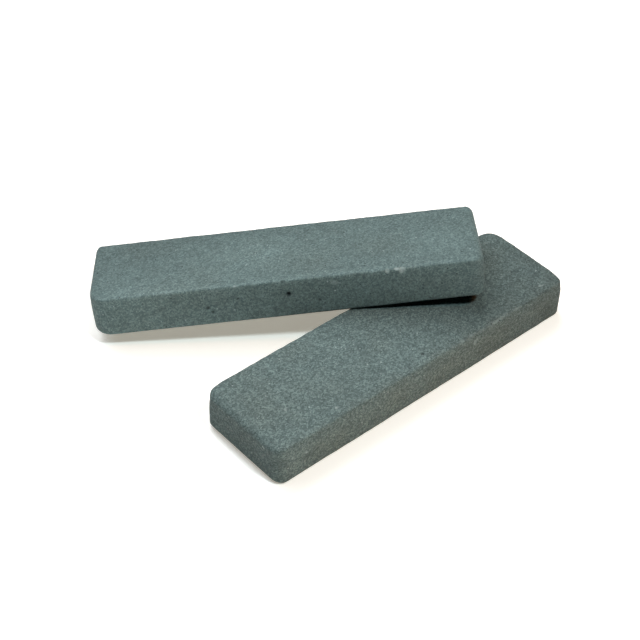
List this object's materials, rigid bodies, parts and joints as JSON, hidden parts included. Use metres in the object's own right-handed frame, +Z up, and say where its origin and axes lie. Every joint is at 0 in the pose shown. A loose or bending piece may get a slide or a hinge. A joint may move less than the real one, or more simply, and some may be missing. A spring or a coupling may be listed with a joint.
{
  "type": "sharpening whetstone",
  "caption": "Small rectangular abrasive whetstones for sharpening carving knives and gouges, the upper stone leaning across the lower.",
  "frame": {"origin": "middle of the lower stone's underside, on the surface that the pair rests on", "axes": "+X along the lower stone's length, +Y across it towards the side the upper stone leans to, +Z up"},
  "size_m": [0.1087, 0.0939, 0.0281],
  "materials": {
    "coarse_grit": "matte",
    "fine_grit": "matte"
  },
  "bodies": {
    "lower_stone": {"lower_stone": "coarse_grit"},
    "upper_stone": {"upper_stone": "fine_grit"}
  },
  "joints": [
    {"name": "upper_stone_lift", "type": "slide", "parent": "lower_stone", "child": "upper_stone", "axis": [0, 0, 1], "range_m": [0, 0.06]}
  ]
}
